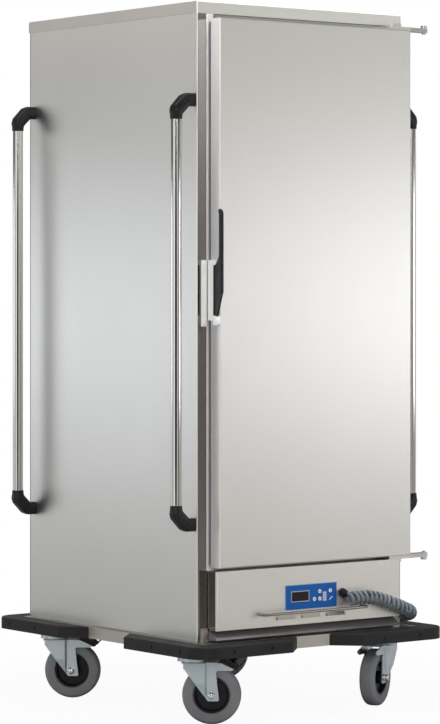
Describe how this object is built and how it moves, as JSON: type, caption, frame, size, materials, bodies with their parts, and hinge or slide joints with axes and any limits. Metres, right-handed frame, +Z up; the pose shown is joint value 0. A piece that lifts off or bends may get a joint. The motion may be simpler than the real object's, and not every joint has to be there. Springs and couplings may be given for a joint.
{
  "type": "heated banquet trolley",
  "caption": "Tall insulated steel food cabinet on a bumpered tube frame with swivel castors, a hinged door with lever latch, push handles, control panel and curly mains lead.",
  "frame": {"origin": "on the floor, under the middle of the footprint of the trolley without its cord", "axes": "+Z up, -Y out of the door's face, +X towards the door's hinges"},
  "size_m": [0.818, 0.93, 1.805],
  "materials": {
    "body_steel": "satin",
    "door_steel": "satin",
    "inner_steel": "satin",
    "bare_tube": "satin",
    "bright_chrome": "polished",
    "zinc_pressing": "satin",
    "dark_sheet": "satin",
    "black_moulding": "matte",
    "black_rubber": "matte",
    "grey_tyre": "matte",
    "grey_gasket": "matte",
    "membrane_blue": "satin",
    "window_dark": "gloss",
    "key_white": "matte",
    "cord_grey": "satin",
    "foam": "matte",
    "motor_grey": "satin",
    "cast_alloy": "satin"
  },
  "bodies": {
    "cabinet": {"side_panel_left": "body_steel", "side_panel_right": "body_steel", "back_panel": "body_steel", "roof_cap": "body_steel", "door_frame": "inner_steel", "inner_liner": "inner_steel", "insulation": "foam", "rack_left": "inner_steel", "rack_right": "inner_steel", "base_pan": "body_steel", "chassis_frame": "zinc_pressing", "skirt_plate": "dark_sheet", "corner_bumpers": "black_rubber", "bumper_screws": "zinc_pressing", "handle_tubes": "bare_tube", "handle_elbows": "black_moulding", "hinge_brackets": "inner_steel", "latch_strike": "bright_chrome", "control_fascia": "body_steel", "control_membrane": "membrane_blue", "display_window": "window_dark", "controller_box": "black_moulding", "guard_bar": "bright_chrome", "cable_gland": "black_moulding", "curly_cord": "cord_grey", "mains_plug": "black_moulding", "heater_well": "inner_steel", "heating_element": "dark_sheet", "fan_motor": "motor_grey", "fan_grille": "inner_steel", "water_tray": "inner_steel", "castor_plates": "zinc_pressing", "castor_bolts": "zinc_pressing"},
    "door": {"door_skin": "door_steel", "door_inner_pan": "inner_steel", "door_foam": "foam", "door_gasket": "grey_gasket", "hinge_arms": "inner_steel", "latch_case": "bright_chrome"},
    "latch_lever": {"latch_lever": "black_moulding"},
    "fan_impeller": {"fan_impeller": "cast_alloy"},
    "key_set": {"key_set": "key_white"},
    "key_down": {"key_down": "key_white"},
    "key_up": {"key_up": "key_white"},
    "key_power": {"key_power": "key_white"},
    "castor_front_left": {"castor_fork_front_left": "zinc_pressing"},
    "wheel_front_left": {"castor_rim_front_left": "black_moulding", "castor_tyre_front_left": "grey_tyre"},
    "castor_front_right": {"castor_fork_front_right": "zinc_pressing"},
    "wheel_front_right": {"castor_rim_front_right": "black_moulding", "castor_tyre_front_right": "grey_tyre"},
    "castor_rear_left": {"castor_fork_rear_left": "zinc_pressing"},
    "wheel_rear_left": {"castor_rim_rear_left": "black_moulding", "castor_tyre_rear_left": "grey_tyre"},
    "castor_rear_right": {"castor_fork_rear_right": "zinc_pressing"},
    "wheel_rear_right": {"castor_rim_rear_right": "black_moulding", "castor_tyre_rear_right": "grey_tyre"},
    "pedal_front_left": {"brake_pedal_front_left": "dark_sheet"},
    "pedal_rear_left": {"brake_pedal_rear_left": "dark_sheet"}
  },
  "joints": [
    {"name": "door_hinge", "type": "hinge", "parent": "cabinet", "child": "door", "pos_m": [0.399, -0.366, 1.08], "axis": [0, 0, 1], "range_deg": [0, 270]},
    {"name": "latch_lever_pivot", "type": "hinge", "parent": "door", "child": "latch_lever", "pos_m": [-0.3063, -0.3875, 1.085], "axis": [0, 0, -1], "range_deg": [0, 45]},
    {"name": "fan_spin", "type": "hinge", "parent": "cabinet", "child": "fan_impeller", "pos_m": [-0.0045, 0.055, 0.38], "axis": [0, 0, 1], "continuous": true},
    {"name": "key_set_press", "type": "slide", "parent": "cabinet", "child": "key_set", "axis": [0, 1, 0], "range_m": [0, 0.0005], "stiffness_N_per_m": 800},
    {"name": "key_down_press", "type": "slide", "parent": "cabinet", "child": "key_down", "axis": [0, 1, 0], "range_m": [0, 0.0005], "stiffness_N_per_m": 800},
    {"name": "key_up_press", "type": "slide", "parent": "cabinet", "child": "key_up", "axis": [0, 1, 0], "range_m": [0, 0.0005], "stiffness_N_per_m": 800},
    {"name": "key_power_press", "type": "slide", "parent": "cabinet", "child": "key_power", "axis": [0, 1, 0], "range_m": [0, 0.0005], "stiffness_N_per_m": 800},
    {"name": "swivel_front_left", "type": "hinge", "parent": "cabinet", "child": "castor_front_left", "pos_m": [-0.315, -0.305, 0.16], "axis": [0, 0, 1], "continuous": true},
    {"name": "wheel_front_left_roll", "type": "hinge", "parent": "castor_front_left", "child": "wheel_front_left", "pos_m": [-0.27719, -0.33617, 0.074], "axis": [0.6361, 0.7716, 0], "continuous": true},
    {"name": "brake_front_left", "type": "hinge", "parent": "castor_front_left", "child": "pedal_front_left", "pos_m": [-0.2471, -0.36097, 0.152], "axis": [0.6361, 0.7716, 0], "range_deg": [0, 15]},
    {"name": "swivel_front_right", "type": "hinge", "parent": "cabinet", "child": "castor_front_right", "pos_m": [0.306, -0.305, 0.16], "axis": [0, 0, 1], "continuous": true},
    {"name": "wheel_front_right_roll", "type": "hinge", "parent": "castor_front_right", "child": "wheel_front_right", "pos_m": [0.26327, -0.32898, 0.074], "axis": [0.4894, -0.8721, 0], "continuous": true},
    {"name": "swivel_rear_left", "type": "hinge", "parent": "cabinet", "child": "castor_rear_left", "pos_m": [-0.315, 0.309, 0.16], "axis": [0, 0, 1], "continuous": true},
    {"name": "wheel_rear_left_roll", "type": "hinge", "parent": "castor_rear_left", "child": "wheel_rear_left", "pos_m": [-0.27975, 0.27496, 0.074], "axis": [0.6947, 0.7193, 0], "continuous": true},
    {"name": "brake_rear_left", "type": "hinge", "parent": "castor_rear_left", "child": "pedal_rear_left", "pos_m": [-0.2517, 0.24787, 0.152], "axis": [0.6947, 0.7193, 0], "range_deg": [0, 15]},
    {"name": "swivel_rear_right", "type": "hinge", "parent": "cabinet", "child": "castor_rear_right", "pos_m": [0.306, 0.309, 0.16], "axis": [0, 0, 1], "continuous": true},
    {"name": "wheel_rear_right_roll", "type": "hinge", "parent": "castor_rear_right", "child": "wheel_rear_right", "pos_m": [0.26697, 0.33863, 0.074], "axis": [-0.6046, -0.7965, 0], "continuous": true}
  ]
}
